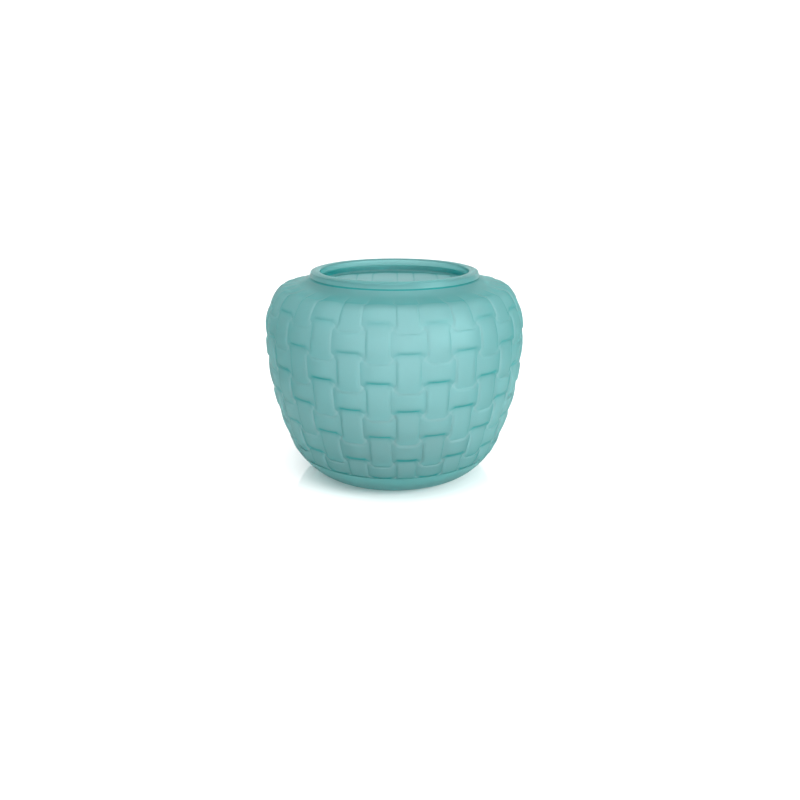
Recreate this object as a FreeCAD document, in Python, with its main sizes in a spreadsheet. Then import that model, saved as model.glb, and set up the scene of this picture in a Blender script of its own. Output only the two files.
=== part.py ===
"""Hand blown glass vase: a squat bowl with a basket-weave skin, a plain thick base and an applied lip.

Millimetres, +Z up, origin at the centre of the underside. Three pieces of hot-joined glass:
base_bowl (plain base and heel), woven_body (patterned wall and shoulder) and lip_collar.
Outlines are chains of tangent arcs, each given by its radius and by the slope where it ends.
Slopes are in degrees: 0 runs outwards, 90 runs straight up, 180 runs inwards.
"""
import FreeCAD, Part
import math
import os

import Sketcher
from FreeCAD import Vector

SIZES = {
    # resting ring and underside
    "contact_radius": 52.5,
    "punt_sphere": 309.0,
    "punt_slope": 7.44,
    "pontil_sphere": 70.0,
    "pontil_slope": 13.5,
    "pontil_depth": 0.8,
    # outer outline, from the resting ring up to the foot of the lip
    "heel_radius": 26.0,
    "heel_slope": 40.2,
    "joint_slope": 59.7,
    "bowl_radius": 52.1,
    "bowl_slope": 68.4,
    "side_radius": 223.5,
    "side_slope": 92.35,
    "shoulder_radius": 44.7,
    "shoulder_slope": 130.0,
    "crest_radius": 8.5,
    "crest_slope": 168.0,
    "root_radius": 21.7,
    "root_slope": 141.2,
    "seat_height": 154.4,
    # the hollow inside
    "wall": 4.3,
    "floor_thickness": 9.0,
    "floor_radius": 57.7,
    "floor_bend": 20.0,
    "floor_bend_slope": 52.5,
    "neck_radius": 57.0,
    "neck_bend": 3.0,
    "neck_clear": 20.0,
    # basket weave
    "columns": 30.0,
    "row_pitch": 20.58,
    "row_top": 174.3,
    "weave_end": 172.5,
    "strap_crest": 0.5,
    "strap_dip": 1.3,
    "strap_round": 0.3,
    "side_lap": 0.11,
    "end_lap": 0.15,
    # applied lip, heights above its seat
    "lip_foot_radius": 65.2,
    "lip_edge_radius": 64.0,
    "lip_edge_height": 4.2,
    "lip_crown_radius": 60.6,
    "lip_crown_height": 5.3,
    "lip_inner_height": 4.6,
    "lip_foot_round": 0.9,
    "lip_edge_round": 0.9,
    "lip_inner_round": 1.6,
}
POINTS_PER_COLUMN = 16
POINT_SPACING = 1.3  # of the skin's points up the wall
EDGE_BLEND = 0.12  # width of a strap's edge, in strap pitches
TOP_FADE = 6.0  # length over which the relief dies into the shoulder
BOTTOM_FADE = 2.4  # and into the base joint
SAME = 0.05  # two lengths closer than this are taken as one

doc = FreeCAD.newDocument("vase")
sheet = doc.addObject("Spreadsheet::Sheet", "Sizes")
for line, (alias, value) in enumerate(SIZES.items(), 1):
    sheet.set(f"A{line}", alias)
    sheet.set(f"B{line}", str(value))
    sheet.setAlias(f"B{line}", alias)
doc.recompute()


class Amount:
    """A number together with the expression that gives it from the sheet."""

    def __init__(self, value, text):
        self.value = value
        self.text = text

    def __add__(self, other):
        return Amount(self.value + other.value, f"({self.text} + {other.text})")

    def __sub__(self, other):
        return Amount(self.value - other.value, f"({self.text} - {other.text})")

    def __mul__(self, other):
        return Amount(self.value * other.value, f"({self.text} * {other.text})")

    def __neg__(self):
        return Amount(-self.value, f"(0 - {self.text})")


def cell(alias):
    return Amount(float(getattr(sheet, alias)), f"Sizes.{alias}")


def size(alias):
    return cell(alias).value


def fixed(number):
    return Amount(float(number), str(number))


def sine(slope):
    return Amount(math.sin(math.radians(slope.value)), f"sin({slope.text})")


def cosine(slope):
    return Amount(math.cos(math.radians(slope.value)), f"cos({slope.text})")


NOTHING = fixed(0)
LEVEL = fixed(0)
UPRIGHT = fixed(90)


# ------------------------------------------------------------------ sketches


class Outline:
    """A closed chain of lines and tangent arcs in a body's X-Z plane, bound to the sheet."""

    def __init__(self, body, name, x, z):
        plane = next(f for f in body.Origin.OriginFeatures if f.Role == "XZ_Plane")
        self.sketch = body.newObject("Sketcher::SketchObject", name)
        self.sketch.AttachmentSupport = (plane, [""])
        self.sketch.MapMode = "FlatFace"
        self.start = (x, z)
        self.x, self.z = x.value, z.value
        self.end = None  # the point where the chain has got to: geometry and which end of it

    def limit(self, kind, *args):
        return self.sketch.addConstraint(Sketcher.Constraint(kind, *args))

    def bind(self, kind, args, amount, label):
        number = self.limit(kind, *args, amount.value)
        self.sketch.renameConstraint(number, label)
        self.sketch.setExpression(f"Constraints.{label}", amount.text)

    def attach(self, index, near):
        """Joins a new piece to the chain, or pins the first one where the outline starts."""
        if self.end:
            self.limit("Coincident", *self.end, index, near)
            return
        self.first = (index, near)
        for amount, axis, other_axis in zip(self.start, "XY", (-2, -1)):
            if amount.value == 0:
                self.limit("PointOnObject", index, near, other_axis)
            else:
                self.bind(f"Distance{axis}", (-1, 1, index, near), amount, f"start_{axis}")

    def run(self, index, near, far, move, axis):
        """Binds how far a piece runs along one axis."""
        ends = (index, near, index, far)
        if move.value < 0:
            ends, move = (index, far, index, near), -move
        self.bind(f"Distance{axis}", ends, move, f"run_{axis}{index}")

    def line(self, right, up):
        """A line by its runs; a run of NOTHING makes it upright or level."""
        a = Vector(self.x, self.z, 0)
        self.x += right.value
        self.z += up.value
        index = self.sketch.addGeometry(Part.LineSegment(a, Vector(self.x, self.z, 0)))
        self.attach(index, 1)
        for move, axis, straight in ((right, "X", "Vertical"), (up, "Y", "Horizontal")):
            if move is NOTHING:
                self.limit(straight, index)
            else:
                self.run(index, 1, 2, move, axis)
        self.end = (index, 2)

    def level_to_axis(self):
        a = Vector(self.x, self.z, 0)
        index = self.sketch.addGeometry(Part.LineSegment(a, Vector(0, self.z, 0)))
        self.attach(index, 1)
        self.limit("Horizontal", index)
        self.limit("PointOnObject", index, 2, -2)
        self.x, self.end = 0.0, (index, 2)

    def tangent_to(self, x, slope):
        """A line that carries on the last arc as far as the given distance from the axis."""
        a = Vector(self.x, self.z, 0)
        self.z += (x.value - self.x) * math.tan(math.radians(slope.value))
        self.x = x.value
        index = self.sketch.addGeometry(Part.LineSegment(a, Vector(self.x, self.z, 0)))
        self.limit("Tangent", *self.end, index, 1)
        self.bind("DistanceX", (-1, 1, index, 2), x, f"reach_X{index}")
        self.end = (index, 2)

    def arc(self, radius, slope_from, slope_to):
        """An arc that turns from one slope to another, either way round."""
        turn = 1 if slope_to.value > slope_from.value else -1
        right = radius * (sine(slope_to) - sine(slope_from))
        up = radius * (cosine(slope_from) - cosine(slope_to))
        if turn < 0:
            right, up = -right, -up
        centre = Vector(
            self.x - turn * radius.value * sine(slope_from).value,
            self.z + turn * radius.value * cosine(slope_from).value,
            0,
        )
        circle = Part.Circle(centre, Vector(0, 0, 1), radius.value)
        angles = [math.radians(s.value - turn * 90) for s in (slope_from, slope_to)]
        near, far = (1, 2) if turn > 0 else (2, 1)
        index = self.sketch.addGeometry(Part.ArcOfCircle(circle, *angles[::turn]))
        self.attach(index, near)
        self.bind("Radius", (index,), radius, f"radius{index}")
        self.run(index, near, far, right, "X")
        self.run(index, near, far, up, "Y")
        self.x += right.value
        self.z += up.value
        self.end = (index, far)

    def close(self):
        a, b = Vector(self.x, self.z, 0), Vector(*(s.value for s in self.start), 0)
        index = self.sketch.addGeometry(Part.LineSegment(a, b))
        self.attach(index, 1)
        self.limit("Coincident", index, 2, *self.first)
        return self.sketch


def revolve(body, sketch, kind="Revolution"):
    feature = body.newObject(f"PartDesign::{kind}", f"{body.Name}_{kind.lower()}")
    feature.Profile = sketch
    feature.ReferenceAxis = (sketch, ["V_Axis"])
    feature.Angle = 360
    body.Tip = feature
    doc.recompute()
    return feature


def round_edges(body, base, amount, radius, height, name):
    """A fillet on the circular edge of a turned body that has the given radius and height."""
    edges = []
    for number, edge in enumerate(base.Shape.Edges, 1):
        curve = edge.Curve
        if isinstance(curve, Part.Circle) and same(curve.Radius, radius) and same(curve.Center.z, height):
            edges.append(f"Edge{number}")
    fillet = body.newObject("PartDesign::Fillet", name)
    fillet.Base = (base, edges)
    fillet.setExpression("Radius", amount.text)
    body.Tip = fillet
    doc.recompute()
    return fillet


def same(a, b):
    return abs(a - b) < SAME


# ------------------------------------------------------------------- hollow


def make_hollow():
    """The space inside, from the floor to above the lip; it is cut from base and wall alike."""
    body = doc.addObject("PartDesign::Body", "hollow")
    wall = cell("wall")
    crest = cell("crest_slope")
    outline = Outline(body, "hollow_outline", NOTHING, cell("floor_thickness"))
    outline.line(cell("floor_radius"), NOTHING)
    outline.arc(cell("floor_bend"), LEVEL, cell("floor_bend_slope"))
    outline.arc(cell("bowl_radius") - wall, cell("floor_bend_slope"), cell("bowl_slope"))
    outline.arc(cell("side_radius") - wall, cell("bowl_slope"), cell("side_slope"))
    outline.arc(cell("shoulder_radius") - wall, cell("side_slope"), cell("shoulder_slope"))
    outline.arc(cell("crest_radius") - wall, cell("shoulder_slope"), crest)
    bend = cell("neck_bend")
    outline.tangent_to(cell("neck_radius") + bend * (fixed(1) - sine(crest)), crest)
    outline.arc(bend, crest, UPRIGHT)
    outline.line(NOTHING, cell("neck_clear"))
    outline.level_to_axis()
    revolve(body, outline.close())
    return body


# --------------------------------------------------------------------- base


def make_base(hollow):
    """Plain thick base: resting ring, shallow punt with a ground pontil mark, and the heel."""
    body = doc.addObject("PartDesign::Body", "base_blank")
    punt_height = cell("punt_sphere") * (fixed(1) - cosine(cell("punt_slope")))
    outline = Outline(body, "base_outline", NOTHING, punt_height)
    outline.arc(cell("punt_sphere"), LEVEL, -cell("punt_slope"))
    outline.line(cell("contact_radius") - cell("punt_sphere") * sine(cell("punt_slope")), NOTHING)
    outline.arc(cell("heel_radius"), LEVEL, cell("heel_slope"))
    outline.arc(cell("bowl_radius"), cell("heel_slope"), cell("joint_slope"))
    outline.level_to_axis()
    turned = revolve(body, outline.close())

    mark_height = punt_height + cell("pontil_depth")
    mark_drop = cell("pontil_sphere") * (fixed(1) - cosine(cell("pontil_slope")))
    mark = Outline(body, "pontil_outline", NOTHING, mark_height)
    mark.arc(cell("pontil_sphere"), LEVEL, -cell("pontil_slope"))
    mark.line(NOTHING, mark_drop - mark_height)
    mark.level_to_axis()
    before = turned.Shape.Volume
    ground = revolve(body, mark.close(), "Groove")
    if ground.Shape.Volume >= before:
        raise RuntimeError("the pontil mark cuts nothing")

    base = doc.addObject("Part::Cut", "base_bowl")
    base.Label = "base_bowl"
    base.Base, base.Tool = body, hollow
    return base


# --------------------------------------------------------------- woven skin


def skin_chain():
    """The outer outline as arcs: radius with its turning way, start slope, end slope, start point."""
    chain = []
    slope, x, z = 0.0, size("contact_radius"), 0.0
    for part_name in ("heel", "bowl", "side", "shoulder", "crest"):
        radius, to = size(f"{part_name}_radius"), size(f"{part_name}_slope")
        chain.append((radius, slope, to, x, z))
        x += radius * (math.sin(math.radians(to)) - math.sin(math.radians(slope)))
        z += radius * (math.cos(math.radians(slope)) - math.cos(math.radians(to)))
        slope = to
    root, end = size("root_radius"), size("root_slope")
    rise = root * (math.cos(math.radians(end)) - math.cos(math.radians(slope)))
    run = (size("seat_height") - z - rise) / math.sin(math.radians(slope))
    chain.append((run, slope, slope, x, z))
    x += run * math.cos(math.radians(slope))
    z += run * math.sin(math.radians(slope))
    chain.append((-root, slope, end, x, z))
    return chain


def piece_length(piece):
    radius, slope, to = piece[:3]
    return radius if slope == to else radius * math.radians(to - slope)


def on_skin(chain, along):
    """Point and outward normal of the plain wall, at a distance along it from the resting ring."""
    for piece in chain:
        if along <= piece_length(piece) or piece is chain[-1]:
            break
        along -= piece_length(piece)
    radius, slope, to, x, z = piece
    a = math.radians(slope)
    if slope == to:
        return x + along * math.cos(a), z + along * math.sin(a), math.sin(a), -math.cos(a)
    b = a + along / radius
    x += radius * (math.sin(b) - math.sin(a))
    z += radius * (math.cos(a) - math.cos(b))
    return x, z, math.sin(b), -math.cos(b)


def ease(t):
    t = min(1.0, max(0.0, t))
    return t * t * (3 - 2 * t)


def splay(offset, length):
    """How far a strap's edge stands off its cell: nothing at the corners, all of it between."""
    return min(1.0, (0.5 - abs(offset)) / length)


def strap(across, along, reach):
    """Height of a strap over its mean level, from its own centre, in strap pitches."""
    dip = size("strap_dip") * (1 - math.cos(math.pi / 2 * min(1.0, abs(along) / reach)))
    return size("strap_crest") - dip - size("strap_round") * abs(2 * across) ** 3


def weave(column, row):
    """Height of the weave: upright and level straps pass over each other in turn."""
    side_lap, end_lap = size("side_lap"), size("end_lap")
    across = column - math.floor(column) - 0.5
    up = row - math.floor(row) - 0.5
    upright_reach, level_reach = 0.5 + end_lap, 0.5 + side_lap
    if (math.floor(column) + math.floor(row)) % 2:  # a level strap is on top
        inside = 0.5 - end_lap * splay(across, 0.2) - abs(up)
        top = strap(up, across, level_reach)
        under = strap(across, 1 - abs(up), upright_reach)
    else:
        inside = 0.5 - side_lap * splay(up, 0.25) - abs(across)
        top = strap(across, up, upright_reach)
        under = strap(up, 1 - abs(across), level_reach)
    share = ease(inside / EDGE_BLEND + 0.5)
    return share * top + (1 - share) * under


def make_skin():
    """The outside of the woven wall, closed at the base joint and at the lip's seat."""
    chain = skin_chain()
    start = piece_length(chain[0])
    start += chain[1][0] * math.radians(size("joint_slope") - size("heel_slope"))
    end = sum(piece_length(piece) for piece in chain)
    steps = round((end - start) / POINT_SPACING)
    repeat = 2 * 360 / size("columns")
    points = []
    for i in range(2 * POINTS_PER_COLUMN + 1):
        column = i / POINTS_PER_COLUMN
        angle = math.radians(column * repeat / 2)
        line = []
        for j in range(steps + 1):
            along = start + (end - start) * j / steps
            x, z, out, up = on_skin(chain, along)
            fade = ease((along - start) / BOTTOM_FADE) * ease((size("weave_end") - along) / TOP_FADE)
            height = fade * weave(column, (size("row_top") - along) / size("row_pitch"))
            x, z = x + height * out, z + height * up
            line.append(Vector(x * math.sin(angle), -x * math.cos(angle), z))
        points.append(line)
    for line in points:  # both ends of the skin are level rings
        line[0].z, line[-1].z = points[0][0].z, size("seat_height")
    surface = Part.BSplineSurface()
    surface.interpolate(points)
    faces = []
    for k in range(round(360 / repeat)):
        face = surface.toShape()
        face.rotate(Vector(), Vector(0, 0, 1), k * repeat)
        faces.append(face)
    edges = [edge for face in faces for edge in face.Edges if edge.BoundBox.ZLength < SAME]
    for level in (points[0][0].z, size("seat_height")):
        rim = [edge for edge in edges if same(edge.BoundBox.ZMin, level)]
        faces.append(Part.Face(Part.Wire(Part.sortEdges(rim)[0])))
    shell = Part.Shell(faces)
    shell.sewShape()
    skin = doc.addObject("Part::Feature", "woven_blank")
    skin.Shape = Part.Solid(shell)
    return skin


def make_woven_body(hollow):
    body = doc.addObject("Part::Cut", "woven_body")
    body.Label = "woven_body"
    body.Base, body.Tool = make_skin(), hollow
    return body


# ---------------------------------------------------------------------- lip


def make_lip():
    """Applied lip: a flared ring with a domed land, undercut where it meets the shoulder."""
    body = doc.addObject("PartDesign::Body", "lip_collar")
    body.Label = "lip_collar"
    outline = Outline(body, "lip_outline", cell("neck_radius"), NOTHING)
    outline.line(cell("lip_foot_radius") - cell("neck_radius"), NOTHING)
    outline.line(cell("lip_edge_radius") - cell("lip_foot_radius"), cell("lip_edge_height"))
    outline.line(
        cell("lip_crown_radius") - cell("lip_edge_radius"),
        cell("lip_crown_height") - cell("lip_edge_height"),
    )
    outline.line(
        cell("neck_radius") - cell("lip_crown_radius"),
        cell("lip_inner_height") - cell("lip_crown_height"),
    )
    turned = revolve(body, outline.close())
    step = turned
    for corner, height in (("edge", "lip_edge_height"), ("foot", None), ("inner", "lip_inner_height")):
        radius = size("neck_radius" if corner == "inner" else f"lip_{corner}_radius")
        level = size(height) if height else 0.0
        step = round_edges(body, step, cell(f"lip_{corner}_round"), radius, level, f"{corner}_round")
    body.setExpression("Placement.Base.z", "Sizes.seat_height")
    return body


# -------------------------------------------------------------------- build

hollow = make_hollow()
parts = [make_base(hollow), make_woven_body(hollow), make_lip()]
doc.recompute()

for item in doc.Objects:
    if "Invalid" in item.State or "Error" in item.State:
        raise RuntimeError(f"{item.Label}: {item.State}")
os.makedirs("parts", exist_ok=True)
for item in parts:
    shape = item.Shape
    if shape.isNull() or not shape.isValid():
        raise RuntimeError(f"{item.Label} has no valid shape")
    shape.exportStep(os.path.join("parts", f"{item.Label}.step"))
    box = shape.BoundBox
    print(
        f"{item.Label}: {len(shape.Solids)} solid, {shape.Volume / 1000:.1f} cm3, "
        f"x {box.XLength:.1f} y {box.YLength:.1f} z {box.ZMin:.2f} to {box.ZMax:.2f}"
    )
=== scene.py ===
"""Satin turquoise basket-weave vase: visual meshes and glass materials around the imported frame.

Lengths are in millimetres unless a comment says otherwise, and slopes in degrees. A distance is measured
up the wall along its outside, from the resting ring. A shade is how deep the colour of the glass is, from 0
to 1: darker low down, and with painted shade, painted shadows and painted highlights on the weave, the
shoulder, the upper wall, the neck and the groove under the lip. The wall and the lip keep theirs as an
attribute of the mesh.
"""

import math

import bmesh
import bpy
import numpy as np
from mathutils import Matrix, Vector


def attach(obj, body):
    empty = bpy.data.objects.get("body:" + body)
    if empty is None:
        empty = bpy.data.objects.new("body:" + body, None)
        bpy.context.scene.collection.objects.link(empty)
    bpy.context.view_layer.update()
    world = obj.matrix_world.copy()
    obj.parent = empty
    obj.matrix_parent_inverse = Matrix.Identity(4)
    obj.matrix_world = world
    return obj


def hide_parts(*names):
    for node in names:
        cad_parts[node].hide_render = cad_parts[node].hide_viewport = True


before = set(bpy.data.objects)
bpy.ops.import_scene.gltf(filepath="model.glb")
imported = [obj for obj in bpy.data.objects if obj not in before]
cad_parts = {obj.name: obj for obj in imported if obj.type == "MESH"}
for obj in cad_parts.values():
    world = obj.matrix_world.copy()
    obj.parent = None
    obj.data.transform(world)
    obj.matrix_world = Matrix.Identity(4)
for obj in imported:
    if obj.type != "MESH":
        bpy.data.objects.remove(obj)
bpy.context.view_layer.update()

MM = 0.001
SIDES = 288  # round each turned piece
GAP = 0.02  # between pieces that touch

# ------------------------------------------------------------------ sizes of the pieces

# The outside from the resting ring up to the foot of the lip: arc radius, slope where it ends.
CONTACT_RADIUS = 52.5
JOINT_SLOPE = 59.7
OUTSIDE = [(26.0, 40.2), (52.1, 68.4), (223.5, 92.35), (44.7, 130.0), (8.5, 168.0)]
ROOT_ARC = (21.7, 141.2)
SEAT_HEIGHT = 154.4
# The inside from the floor up to the neck.
WALL = 4.3
FLOOR_HEIGHT = 9.0
FLOOR_RADIUS = 57.7
FLOOR_BEND = (20.0, 52.5)
NECK_RADIUS = 57.0
NECK_BEND = 3.0
# Underside.
PUNT_SPHERE = 309.0
PUNT_SLOPE = 7.44
PONTIL_SPHERE = 70.0
PONTIL_HEIGHT = 3.4
PONTIL_RADIUS = 12.0
# The joint of base and wall.
JOINT_INSET = 0.9  # from the outside to the edge of the wall's lower face
JOINT_ARRIS = [(0.05, 0.25), (0.25, 0.02), (0.6, 0.0)]  # points of the heel's softened edge: inwards, down
# Applied lip, heights above its seat.
LIP_FOOT_RADIUS = 65.2
LIP_EDGE = (64.0, 4.2)
LIP_CROWN = (60.6, 5.15)
LIP_INNER_HEIGHT = 4.6
LIP_ROUNDING = (0, 0.6, 0.7, 3.0, 1.2)  # of its corners, from the foot at the neck outwards and over

# ------------------------------------------------------------------ sizes of the weave

COLUMNS = 30
ROWS = 7
ROW_TOP = 174.3
ROW_PITCH = 20.58
# Heights and depths are in millimetres; laps and widths are in strap pitches.
SIDE_LAP = 0.11
END_LAP = 0.18
STRAP_CREST = 0.5
STRAP_DIP = 1.5
STRAP_ROUND = 0.25
EDGE_ROLL = (0.6, 0.12)  # depth and width of the roll along a strap's edges
LOWER_ROLL = (0.8, 0.14)  # the same for the lower edge of a level strap
LAST_ARCH = 0.7  # share of its arch that an upright strap runs through down to the base
# How the relief weakens.
TOP_FADE = (170.0, 187.0)  # it dies away here
BLOWN_AT = (100.0, 160.0)  # where it begins and ends to weaken
BLOWN_SHARE = 0.65  # its share left past that
INNER_SHARE = 0.5  # how much of it shows on the inside of the wall
FOOT_ROLL = 1.6  # length over which the wall rolls in at its foot
FOOT_DROP = 0.35  # and how far
# Where the lines of the mesh cross a cell: close together at its edges.
CELL_LINES = np.array([0.012, 0.03, 0.06, 0.11, 0.19, 0.30, 0.43, 0.57, 0.70, 0.81, 0.89, 0.94, 0.97, 0.988])
# The column of each line that runs down the wall, and the line's place in it.
LINE_COLUMN = np.repeat(np.arange(COLUMNS), len(CELL_LINES))[:, None]
LINE_PLACE = np.tile(CELL_LINES, COLUMNS)[:, None]
# The lines round the plain wall above the weave.
PLAIN_MARGIN = 0.6  # the lowest one's distance above the weave
OUTER_PLAIN_LINES = 18
INNER_PLAIN_LINES = 26

# ------------------------------------------------------------------ shades, holding painted shade, painted shadows and painted highlights

PLAIN_SHADE = 0.12
# Painted shade: the wall is darkened from the belly up.
UPPER_PAINTED_SHADE = 0.12
UPPER_AT = (50.0, 140.0)
LOWER_SHADE = 0.12
INNER_LOWER_SHADE = 0.3
LOWER_AT = (30.0, 90.0)
# Painted shade: a dark band round the shoulder, below the lip.
SHOULDER_PAINTED_SHADE = 0.08
SHOULDER_SHADE_AT = (175.0, 8.0)  # middle and half width of the painted shade band on the shoulder
# Painted shadow in the groove where the lip sits on the wall, on both pieces.
SEAT_PAINTED_SHADOW = 0.9
SEAT_SHADOW_LINE = 1.2
LIP_SHADOW_LINE = 0.9
# Painted shade on the inside of the neck, below the lip.
NECK_PAINTED_SHADE = 0.7
NECK_LINE = 4.5
# Widths and places from here on are in strap pitches.
# Painted shadow where a level strap's lower edge lies over an upright one.
UNDER_PAINTED_SHADOW = 0.45
UNDER_SHADOW_WIDTH = 0.24  # on a level strap, up from its lower edge
SHADOW_WIDTH = 0.1  # on an upright strap, down from that edge
# Each line has a place, measured from the edge of a cell of the weave, and a half width.
# Painted shade along the seams between straps, on the inside of the wall.
SEAM_PAINTED_SHADE = 0.9
SEAM_LINE = (0.0, 0.06)
CROSS_PAINTED_HIGHLIGHT = -0.25  # painted highlights: the corners of the cells are paler
CROSS_LINE = (0.012, 0.03)
# Painted shade lines and painted highlight lines along the straps' edges.
EDGE_PAINTED_LINES = 0.02
SIDE_SHADE_LINE = (0.065, 0.05)
TOP_SHADE_LINE = (0.07, 0.05)
SIDE_HIGHLIGHT_LINE = (0.01, 0.03)
TOP_HIGHLIGHT_LINE = (0.01, 0.04)
HIGHLIGHT_STRENGTH = 2  # of the painted highlight lines against the painted shade lines

# ------------------------------------------------------------------ glass

# Roughness, strength of the grain, and colour at shade 0.
WALL_GLASS = (0.42, 0.25, (0.44, 0.63, 0.64))
BASE_GLASS = (0.38, 0.2, (0.26, 0.65, 0.64))
LIP_GLASS = (0.34, 0.2, (0.23, 0.48, 0.48))
THICK = (0.02, 0.36, 0.35)  # the colour at shade 1
TRANSMISSION = 0.8
IOR = 1.33
SPECULAR = 0.15
GLOSS = (0.45, 0.88, 0.88)
ABSORB = (0.17, 0.59, 0.61)
DENSITY = 12.0  # per metre
EDGE_SHADE = 2.0
EDGE_BLEND = 0.15
UNEVEN = 0.05  # how far roughness and shade wander
CLOUD_SCALE = 35.0
CLOUD_DETAIL = 4.0
GRAIN_SCALE = 900.0
GRAIN_DETAIL = 3.0
GRAIN_DISTANCE = 0.0003  # metres

# ------------------------------------------------------------------ camera, lights and ground

CAMERA_SENSOR = 36.0
CAMERA_LENS = 32.5
CAMERA_PITCH = 18.55
# From here on in metres.
CAMERA_DISTANCE = 0.5887
CAMERA_AIM = (0.00424, 0, 0.0531)
WORLD = 1.35
LIGHTS = {  # place, target, size, watts
    "key": ((0.85, -0.65, 0.5), (0, 0, 0.08), 0.6, 12),
    "top": ((-0.1, -0.35, 1.0), (0, 0, 0.08), 0.5, 3),
    "front": ((0.1, -1.2, 0.08), (0, 0, 0.03), 1.0, 8),
}
GROUND_SIZE = 12
GROUND_WHITE = 0.92
GROUND_ROUGHNESS = 0.06
GROUND_IOR = 1.9


# ------------------------------------------------------------------ curves


def ease(t):
    t = np.clip(t, 0.0, 1.0)
    return t * t * (3 - 2 * t)


def rising(value, span):
    """From 0 below a span to 1 above it."""
    return ease((value - span[0]) / (span[1] - span[0]))


def falling(value, span):
    """From 1 below a span to 0 above it."""
    return ease((span[1] - value) / (span[1] - span[0]))


def line(edge, at, width):
    """1 at a place from an edge, falling straight to 0 on both sides."""
    return np.clip(1 - np.abs(edge - at) / width, 0, 1)


# ------------------------------------------------------------------ outlines


def arcs(x, z, slope, steps):
    """Tangent arcs as rows of x, z, slope and length so far; each step is a radius and an end slope."""
    rows = [(x, z, slope, 0.0)]
    for radius, end in steps:
        x, z, slope, gone = rows[-1]
        turn = math.copysign(1.0, end - slope)
        bend = abs(end - slope)
        count = max(6, round(bend * 2), round(radius * math.radians(bend) * 2))
        for k in range(1, count + 1):
            b = slope + (end - slope) * k / count
            rows.append((
                x + turn * radius * (math.sin(math.radians(b)) - math.sin(math.radians(slope))),
                z + turn * radius * (math.cos(math.radians(slope)) - math.cos(math.radians(b))),
                b,
                gone + radius * math.radians(abs(b - slope)),
            ))
    return rows


def run(rows, length, pieces=12):
    """Carries an outline straight on."""
    x, z, slope, gone = rows[-1]
    a = math.radians(slope)
    for k in range(1, pieces + 1):
        d = length * k / pieces
        rows.append((x + d * math.cos(a), z + d * math.sin(a), slope, gone + d))
    return rows


def carry_on(rows, steps):
    """Carries an outline on with tangent arcs."""
    x, z, slope, gone = rows[-1]
    for row in arcs(x, z, slope, steps)[1:]:
        rows.append((row[0], row[1], row[2], row[3] + gone))
    return rows


def heel_outline():
    """From the resting ring up to the joint."""
    return arcs(CONTACT_RADIUS, 0.0, 0.0, [OUTSIDE[0], (OUTSIDE[1][0], JOINT_SLOPE)])


def outside_outline():
    rows = arcs(CONTACT_RADIUS, 0.0, 0.0, OUTSIDE)
    slope = rows[-1][2]
    radius, end = ROOT_ARC
    rise = radius * (math.cos(math.radians(end)) - math.cos(math.radians(slope)))
    length = (SEAT_HEIGHT - rows[-1][1] - rise) / math.sin(math.radians(slope))
    return np.array(carry_on(run(rows, length), [ROOT_ARC]))


def inside_outline():
    rows = run([(0.0, FLOOR_HEIGHT, 0.0, 0.0)], FLOOR_RADIUS, pieces=24)
    carry_on(rows, [FLOOR_BEND] + [(radius - WALL, slope) for radius, slope in OUTSIDE[1:]])
    slope = math.radians(rows[-1][2])
    reach = NECK_RADIUS + NECK_BEND * (1 - math.sin(slope))
    run(rows, (reach - rows[-1][0]) / math.cos(slope))
    carry_on(rows, [(NECK_BEND, 90.0)])
    return np.array(run(rows, SEAT_HEIGHT - rows[-1][1], pieces=4))


class Skin:
    """An outline that can be read at any length along it."""

    def __init__(self, rows):
        self.x, self.z, slope, self.gone = rows.T
        self.slope = np.radians(slope)
        self.length = self.gone[-1]

    def at(self, length):
        """x, z and outward normal."""
        x = np.interp(length, self.gone, self.x)
        z = np.interp(length, self.gone, self.z)
        slope = np.interp(length, self.gone, self.slope)
        return x, z, np.sin(slope), -np.cos(slope)

    def where_height(self, height, past):
        """The length at which the outline reaches a height, past a given length."""
        later = self.gone >= past
        return float(np.interp(height, self.z[later], self.gone[later]))

    def where_slope(self, slope):
        """The length at which the outline first reaches a slope, given in radians."""
        steepest = np.argmax(self.slope) + 1
        return np.interp(slope, self.slope[:steepest], self.gone[:steepest])


OUT = Skin(outside_outline())
IN = Skin(inside_outline())
JOINT_AT = heel_outline()[-1][3]
JOINT_HEIGHT = float(OUT.at(JOINT_AT)[1])
INNER_JOINT_AT = IN.where_height(JOINT_HEIGHT, FLOOR_RADIUS)
INNER_JOINT_RADIUS = float(IN.at(INNER_JOINT_AT)[0])


def inner_length(distance):
    """The place on the inside that faces a place on the outside: the one with the same slope."""
    slopes = np.radians([slope for radius, slope in OUTSIDE[1:]])
    outer = [JOINT_AT, *OUT.where_slope(slopes), OUT.length]
    inner = [INNER_JOINT_AT, *IN.where_slope(slopes), IN.length]
    return np.interp(distance, outer, inner)


# ------------------------------------------------------------------ weave


def splay(offset, length):
    """How far a strap's edge stands off its cell: nothing at the corners, all of it between them."""
    return np.clip((0.5 - np.abs(offset)) / length, 0, 1)


def strap(across, along, reach, edge, roll):
    """Height of a strap: crowned along its length, rounded across it, rolled over at its edge."""
    depth, width = roll
    dip = STRAP_DIP * (1 - np.cos(np.pi / 2 * np.minimum(1.0, np.abs(along) / reach)))
    rolled = depth * np.clip(1 - edge / width, 0, 1) ** 2
    return STRAP_CREST - dip - STRAP_ROUND * np.abs(2 * across) ** 3 - rolled


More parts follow.
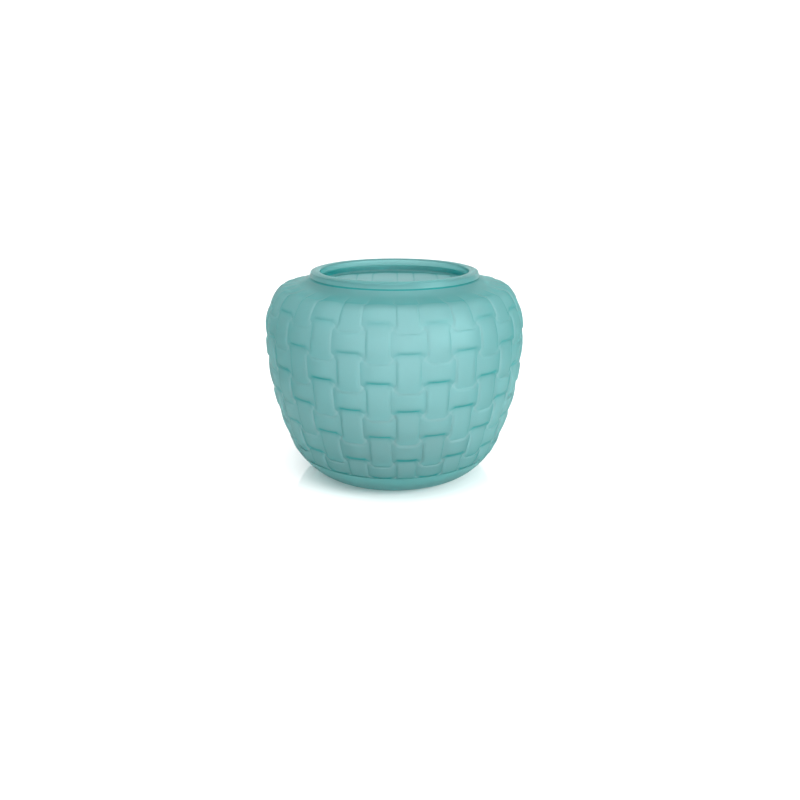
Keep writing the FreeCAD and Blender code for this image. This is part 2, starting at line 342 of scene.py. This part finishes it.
def weave(lines):
    """The weave over one whole turn, on lines round it that are given as a row and a place down it.

    Grids of the position in columns, the distance up the wall, the relief, its shade and the seams.
    """
    row = np.array([row for row, place in lines])[None]
    down = np.array([place for row, place in lines])[None] - 0.5
    across = LINE_PLACE - 0.5
    level = (LINE_COLUMN + row) % 2 == 1  # a level strap is on top here, or else an upright one
    last = row == ROWS - 1
    open_top = (row == 0) & (down < 0)  # the top row runs on into the shoulder
    lower = last & (down > 0)  # the bottom row ends on a plain line

    side_lap = SIDE_LAP * splay(down, SIDE_LAP)
    end_lap = END_LAP * splay(across, END_LAP)
    x = across * np.where(level, 1 + 2 * side_lap, 1 - 2 * side_lap)
    y = down * np.where(lower | open_top, 1.0, np.where(level, 1 - 2 * end_lap, 1 + 2 * end_lap))
    pitch = np.where(last, ROW_TOP - (ROWS - 1) * ROW_PITCH - JOINT_AT, ROW_PITCH)
    distance = ROW_TOP - row * ROW_PITCH - (y + 0.5) * pitch

    side = np.where(open_top & level, 0.5, 0.5 - np.abs(np.where(level, down, across)))
    level_top = strap(y, x, 0.5 + SIDE_LAP, side, EDGE_ROLL)
    level_foot = strap(y, x, 0.5 + SIDE_LAP, side, LOWER_ROLL)
    upright = strap(x, y * np.where(lower, LAST_ARCH, 1.0), 0.5 + END_LAP, side, EDGE_ROLL)
    height = np.where(level, np.where(down > 0, level_foot, level_top), upright)
    seams = line(0.5 - np.abs(across), *SEAM_LINE)
    return LINE_COLUMN + x + 0.5, distance, height, strap_shade(across, down, level, open_top), seams


def strap_shade(across, down, level, open_top):
    """Deeper, as a painted shadow, where a level strap lies over an upright one; fine painted shade and
    highlight lines by other edges; paler corners as painted highlights.
    """
    beside = 0.5 - np.abs(across)
    below = np.where(level, 0.5 - down, 0.5 + down)
    above = np.where(open_top, 0.5, 1 - below)
    below = np.where(open_top, 0.5, below)
    # painted shadow under the lower edge of a level strap
    under = ease(1 - below / np.where(level, UNDER_SHADOW_WIDTH, SHADOW_WIDTH)) * splay(across, END_LAP)
    # painted shade lines and painted highlight lines by the edges
    dark = line(beside, *SIDE_SHADE_LINE) + line(above, *TOP_SHADE_LINE)
    light = np.maximum(line(above, *TOP_HIGHLIGHT_LINE), line(beside, *SIDE_HIGHLIGHT_LINE))
    # painted highlights along the arms where the cells' corners meet
    cross = np.maximum(
        line(beside, *CROSS_LINE) * (1 - splay(down, SIDE_LAP)),
        line(np.minimum(above, below), *CROSS_LINE) * (1 - splay(across, END_LAP)),
    )
    return UNDER_PAINTED_SHADOW * under + EDGE_PAINTED_LINES * (dark - HIGHLIGHT_STRENGTH * light) + CROSS_PAINTED_HIGHLIGHT * cross


def wall_shade(distance):
    """Shade of the outside apart from the weave: more above the belly as painted shade, darker low down, a
    painted shade band on the shoulder, and most under the lip as a painted shadow in the groove.
    """
    # painted shade above the belly
    above = UPPER_PAINTED_SHADE * rising(distance, UPPER_AT)
    below = LOWER_SHADE * falling(distance, LOWER_AT)
    # painted shade band on the shoulder
    band = SHOULDER_PAINTED_SHADE * ease(1 - np.abs(distance - SHOULDER_SHADE_AT[0]) / SHOULDER_SHADE_AT[1])
    # painted shadow in the groove under the lip
    seat = SEAT_PAINTED_SHADOW * ease(1 - (OUT.length - distance) / SEAT_SHADOW_LINE)
    return PLAIN_SHADE + above + below + band + seat


def woven_points(skin, lines, plain_lines, share, seam, length_at):
    """A woven surface from the seat down, the plain lines first: points, shade of the weave, distances."""
    column, distance, height, shade, seams = weave(lines)
    # painted shade along the seams between straps
    shade = shade + seam * seams
    plain = np.linspace(OUT.length, ROW_TOP + PLAIN_MARGIN, plain_lines)
    distance = np.hstack([np.repeat(plain[None], len(distance), axis=0), distance])
    column, height, shade = (
        np.hstack([np.repeat(grid[:, :1], plain_lines, axis=1), grid]) for grid in (column, height, shade)
    )
    fade = falling(distance, TOP_FADE)
    blown = BLOWN_SHARE + (1 - BLOWN_SHARE) * falling(distance, BLOWN_AT)
    height = (STRAP_CREST - (STRAP_CREST - height) * blown) * fade
    foot = ease((distance - JOINT_AT) / FOOT_ROLL)
    height = height * foot - FOOT_DROP * (1 - foot)
    x, z, out, up = skin.at(length_at(distance))
    points = wrapped(x + share * height * out, z + share * height * up, column_angle(column))
    return points, shade * fade * blown ** 2, distance


# ------------------------------------------------------------------ meshes


def column_angle(position):
    return position * 2 * np.pi / COLUMNS


def wrapped(x, z, angle):
    """Points in metres, x from the axis and z high, at an angle round it from the front."""
    x, z, angle = np.broadcast_arrays(x, z, angle)
    return np.stack([x * np.sin(angle), -x * np.cos(angle), z], axis=-1) * MM


def ring_faces(sides, rings, closed):
    """Quads of a grid wrapped round the axis; closed joins its last ring to its first."""
    faces = []
    for i in range(sides):
        k = (i + 1) % sides
        for j in range(rings if closed else rings - 1):
            m = (j + 1) % rings
            faces.append((i * rings + j, i * rings + m, k * rings + m, k * rings + j))
    return faces


def make_object(name, points, faces, material, shade=None):
    mesh = bpy.data.meshes.new(name)
    mesh.from_pydata(points.reshape(-1, 3).tolist(), [], faces)
    shell = bmesh.new()
    shell.from_mesh(mesh)
    bmesh.ops.recalc_face_normals(shell, faces=shell.faces)
    shell.to_mesh(mesh)
    shell.free()
    mesh.polygons.foreach_set("use_smooth", np.ones(len(mesh.polygons), dtype=bool))
    mesh.materials.append(material)
    if shade is not None:
        mesh.attributes.new("shade", "FLOAT", "POINT").data.foreach_set("value", shade.ravel())
    item = bpy.data.objects.new(name, mesh)
    bpy.context.scene.collection.objects.link(item)
    return item


def turned(name, outline, material, shade_at=None):
    """A closed solid of revolution; an outline that starts and ends on the axis gets a point at each."""
    outline = np.array(outline, dtype=float)
    capped = outline[0, 0] == 0
    rings = outline[1:-1] if capped else outline
    n = len(rings)
    angle = np.arange(SIDES)[:, None] * 2 * np.pi / SIDES
    points = wrapped(rings[:, 0], rings[:, 1], angle).reshape(-1, 3)
    faces = ring_faces(SIDES, n, not capped)
    if capped:
        first, last = len(points), len(points) + 1
        points = np.vstack([points, wrapped(0.0, outline[[0, -1], 1], 0.0)])
        for i in range(SIDES):
            k = (i + 1) % SIDES
            faces.append((first, i * n, k * n))
            faces.append((last, k * n + n - 1, i * n + n - 1))
    shade = None if shade_at is None else shade_at(points / MM)
    return make_object(name, points, faces, material, shade)


def rounded(points, radii, steps=6):
    """Rounds the corners of a closed outline, each to its own radius, 0 for none."""
    made = []
    for k, (corner, radius) in enumerate(zip(points, radii)):
        corner = np.array(corner, dtype=float)
        if radius == 0:
            made.append(corner)
            continue
        a = np.array(points[k - 1]) - corner
        b = np.array(points[(k + 1) % len(points)]) - corner
        a, b = a / np.linalg.norm(a), b / np.linalg.norm(b)
        half = math.acos(float(np.clip(a @ b, -1, 1))) / 2
        centre = corner + (a + b) / np.linalg.norm(a + b) * radius / math.sin(half)
        start = corner + a * radius / math.tan(half) - centre
        end = corner + b * radius / math.tan(half) - centre
        angle = math.acos(float(np.clip(start @ end / radius ** 2, -1, 1)))
        for t in np.linspace(0, 1, steps):
            spoke = (start * math.sin((1 - t) * angle) + end * math.sin(t * angle)) / math.sin(angle)
            made.append(centre + spoke)
    return made


def dome(sphere, top, radii):
    """Points down a dome, which stops at the table."""
    return [(r, max(0.0, top - (sphere - math.sqrt(sphere ** 2 - r * r)))) for r in radii]


# ------------------------------------------------------------------ materials


def node(tree, kind, place, **inputs):
    made = tree.nodes.new(kind)
    made.location = place
    for name, value in inputs.items():
        made.inputs[name.replace("_", " ")].default_value = value
    return made


def spread(tree, value, low, high, place):
    """Spreads a value from 0 to 1 over a range."""
    made = node(tree, "ShaderNodeMapRange", place, To_Min=low, To_Max=high)
    tree.links.new(value, made.inputs["Value"])
    return made.outputs["Result"]


def added(tree, a, b, place, clamp=False):
    made = node(tree, "ShaderNodeMath", place)
    made.use_clamp = clamp
    tree.links.new(a, made.inputs[0])
    tree.links.new(b, made.inputs[1])
    return made.outputs["Value"]


def glass_colour(tree, cloud, thin):
    """From the thin colour to the thick one with the mesh's shade, which holds painted shade, painted
    shadows and painted highlights; a little uneven, and deeper where seen edge on.
    """
    shade = node(tree, "ShaderNodeAttribute", (-650, 300))
    shade.attribute_name = "shade"
    slant = node(tree, "ShaderNodeLayerWeight", (-900, 500), Blend=EDGE_BLEND)
    edge = spread(tree, slant.outputs["Facing"], 0, EDGE_SHADE, (-420, 500))
    uneven = spread(tree, cloud, -UNEVEN, UNEVEN, (-420, 100))
    both = added(tree, shade.outputs["Fac"], edge, (-200, 450))
    colour = node(tree, "ShaderNodeMix", (50, 200))
    colour.data_type = "RGBA"
    colour.inputs["A"].default_value = (*thin, 1)
    colour.inputs["B"].default_value = (*THICK, 1)
    tree.links.new(added(tree, both, uneven, (-200, 250), clamp=True), colour.inputs["Factor"])
    return colour.outputs["Result"]


def satin_glass(name, roughness, grain, thin):
    """Acid-frosted turquoise glass, partly clear and partly milky, with a fine grain."""
    material = bpy.data.materials.new(name)
    material.use_nodes = True
    tree = material.node_tree
    tree.nodes.clear()
    out = node(tree, "ShaderNodeOutputMaterial", (700, 0))
    skin = node(tree, "ShaderNodeBsdfPrincipled", (350, 0), IOR=IOR, Transmission_Weight=TRANSMISSION)
    skin.inputs["Specular IOR Level"].default_value = SPECULAR
    skin.inputs["Specular Tint"].default_value = (*GLOSS, 1)
    inside = node(tree, "ShaderNodeVolumeAbsorption", (350, -300), Color=(*ABSORB, 1), Density=DENSITY)
    tree.links.new(skin.outputs["BSDF"], out.inputs["Surface"])
    tree.links.new(inside.outputs["Volume"], out.inputs["Volume"])

    where = node(tree, "ShaderNodeTexCoord", (-900, 0)).outputs["Object"]
    noise = node(tree, "ShaderNodeTexNoise", (-650, -300), Scale=CLOUD_SCALE, Detail=CLOUD_DETAIL)
    tree.links.new(where, noise.inputs["Vector"])
    cloud = noise.outputs["Fac"]
    satin = spread(tree, cloud, roughness - UNEVEN, roughness + UNEVEN, (-200, -300))
    tree.links.new(satin, skin.inputs["Roughness"])
    tree.links.new(glass_colour(tree, cloud, thin), skin.inputs["Base Color"])

    fine = node(tree, "ShaderNodeTexNoise", (-450, 0), Scale=GRAIN_SCALE, Detail=GRAIN_DETAIL)
    tree.links.new(where, fine.inputs["Vector"])
    bump = node(tree, "ShaderNodeBump", (100, -200), Strength=grain, Distance=GRAIN_DISTANCE)
    tree.links.new(fine.outputs["Fac"], bump.inputs["Height"])
    tree.links.new(bump.outputs["Normal"], skin.inputs["Normal"])
    return material


def plain_white(name):
    material = bpy.data.materials.new(name)
    material.use_nodes = True
    skin = material.node_tree.nodes["Principled BSDF"]
    skin.inputs["Base Color"].default_value = (GROUND_WHITE, GROUND_WHITE, GROUND_WHITE, 1)
    skin.inputs["Roughness"].default_value = GROUND_ROUGHNESS
    skin.inputs["IOR"].default_value = GROUND_IOR
    return material


# ------------------------------------------------------------------ pieces


def make_body(material):
    """Woven wall: outside, joint with the base, inside and lip seat as one closed shell."""
    lines = [(row, place) for row in range(ROWS) for place in CELL_LINES]
    inner_lines = [(row, place) for row in range(ROWS) for place in CELL_LINES[::2]]
    outer, outer_shade, outer_distance = woven_points(
        OUT, lines, OUTER_PLAIN_LINES, 1.0, 0.0, lambda distance: distance
    )
    inner, inner_shade, inner_distance = woven_points(
        IN, inner_lines, INNER_PLAIN_LINES, INNER_SHARE, SEAM_PAINTED_SHADE, inner_length
    )
    joint_radii = np.array([OUT.at(JOINT_AT)[0] - JOINT_INSET, INNER_JOINT_RADIUS])
    joint = wrapped(joint_radii, JOINT_HEIGHT + GAP, column_angle(LINE_COLUMN + LINE_PLACE))
    points = np.concatenate([outer, joint, inner[:, ::-1]], axis=1)

    # painted shade on the inside of the neck
    neck = NECK_PAINTED_SHADE * ease(inner[..., 2] / MM - SEAT_HEIGHT + NECK_LINE)
    outer_shade = outer_shade + wall_shade(outer_distance)
    inner_shade = inner_shade + neck + INNER_LOWER_SHADE * falling(inner_distance, LOWER_AT)
    shade = np.hstack([outer_shade, np.zeros(joint.shape[:2]), inner_shade[:, ::-1]])
    sides, rings = points.shape[:2]
    return make_object("woven_wall", points, ring_faces(sides, rings, True), material, shade)


def make_base(material):
    """Plain base: ground pontil mark, punt, resting ring, heel, joint and floor."""
    punt_height = PUNT_SPHERE * (1 - math.cos(math.radians(PUNT_SLOPE)))
    punt_edge = PUNT_SPHERE * math.sin(math.radians(PUNT_SLOPE))
    mark = dome(PONTIL_SPHERE, PONTIL_HEIGHT, np.linspace(0, PONTIL_RADIUS, num=8))
    punt = dome(PUNT_SPHERE, punt_height, np.linspace(PONTIL_RADIUS, punt_edge, num=14)[1:])
    ring = [(r, 0.0) for r in np.linspace(punt_edge, CONTACT_RADIUS, num=5)[1:-1]]
    heel = [row[:2] for row in heel_outline()]
    edge_x, edge_z = heel.pop()
    arris = [(edge_x - inwards, edge_z - down) for inwards, down in JOINT_ARRIS]
    joint = [(INNER_JOINT_RADIUS, JOINT_HEIGHT)]
    floor = [(x, z) for x, z in inside_outline()[::-1, :2] if z <= JOINT_HEIGHT]
    return turned("base_and_heel", mark + punt + ring + heel + arris + joint + floor, material)


def make_lip(material):
    """Applied lip: flared side, domed land, undercut foot."""
    corners = [
        (NECK_RADIUS, SEAT_HEIGHT + GAP),
        (LIP_FOOT_RADIUS, SEAT_HEIGHT + GAP),
        (LIP_EDGE[0], SEAT_HEIGHT + LIP_EDGE[1]),
        (LIP_CROWN[0], SEAT_HEIGHT + LIP_CROWN[1]),
        (NECK_RADIUS, SEAT_HEIGHT + LIP_INNER_HEIGHT),
    ]

    # Painted shadow at the lip's foot, in the groove over its seat.
    def foot_shadow(points):
        away = np.hypot(points[:, 0], points[:, 1])
        near_foot = ease(1 - (points[:, 2] - SEAT_HEIGHT) / LIP_SHADOW_LINE)
        return SEAT_PAINTED_SHADOW * near_foot * (away > LIP_CROWN[0])

    return turned("lip_ring", rounded(corners, LIP_ROUNDING), material, foot_shadow)


# ------------------------------------------------------------------ stage


def make_camera():
    """Looks down on the vase from the front."""
    data = bpy.data.cameras.new("camera")
    data.sensor_width, data.lens = CAMERA_SENSOR, CAMERA_LENS
    camera = bpy.data.objects.new("camera", data)
    pitch = math.radians(CAMERA_PITCH)
    back = Vector((0, -math.cos(pitch), math.sin(pitch))) * CAMERA_DISTANCE
    camera.location = Vector(CAMERA_AIM) + back
    camera.rotation_euler = (-back).to_track_quat("-Z", "Y").to_euler()
    bpy.context.scene.collection.objects.link(camera)
    bpy.context.scene.camera = camera


def make_floor():
    bpy.ops.mesh.primitive_plane_add(size=GROUND_SIZE, location=(0, 0, 0))
    floor = bpy.context.object
    floor.name = "floor"
    floor.data.materials.append(plain_white("floor_white"))


def make_world():
    world = bpy.data.worlds.new("world")
    bpy.context.scene.world = world
    world.use_nodes = True
    background = world.node_tree.nodes["Background"]
    background.inputs["Color"].default_value = (1, 1, 1, 1)
    background.inputs["Strength"].default_value = WORLD


def make_light(name, place, target, size, power):
    data = bpy.data.lights.new(name, "AREA")
    data.shape, data.size, data.energy = "DISK", size, power
    lamp = bpy.data.objects.new(name, data)
    lamp.location = place
    lamp.rotation_euler = (Vector(target) - Vector(place)).to_track_quat("-Z", "Y").to_euler()
    bpy.context.scene.collection.objects.link(lamp)


make_camera()
make_floor()
make_world()
for light, settings in LIGHTS.items():
    make_light(light, *settings)
bpy.context.scene.view_settings.view_transform = "Standard"

body = make_body(satin_glass("woven_glass", *WALL_GLASS))
base = make_base(satin_glass("base_glass", *BASE_GLASS))
lip = make_lip(satin_glass("lip_glass", *LIP_GLASS))
for piece, cad_node, finish in (
    (body, "woven_body", "woven_glass"),
    (base, "base_bowl", "base_glass"),
    (lip, "lip_collar", "lip_glass"),
):
    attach(piece, "root")
    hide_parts(cad_node)
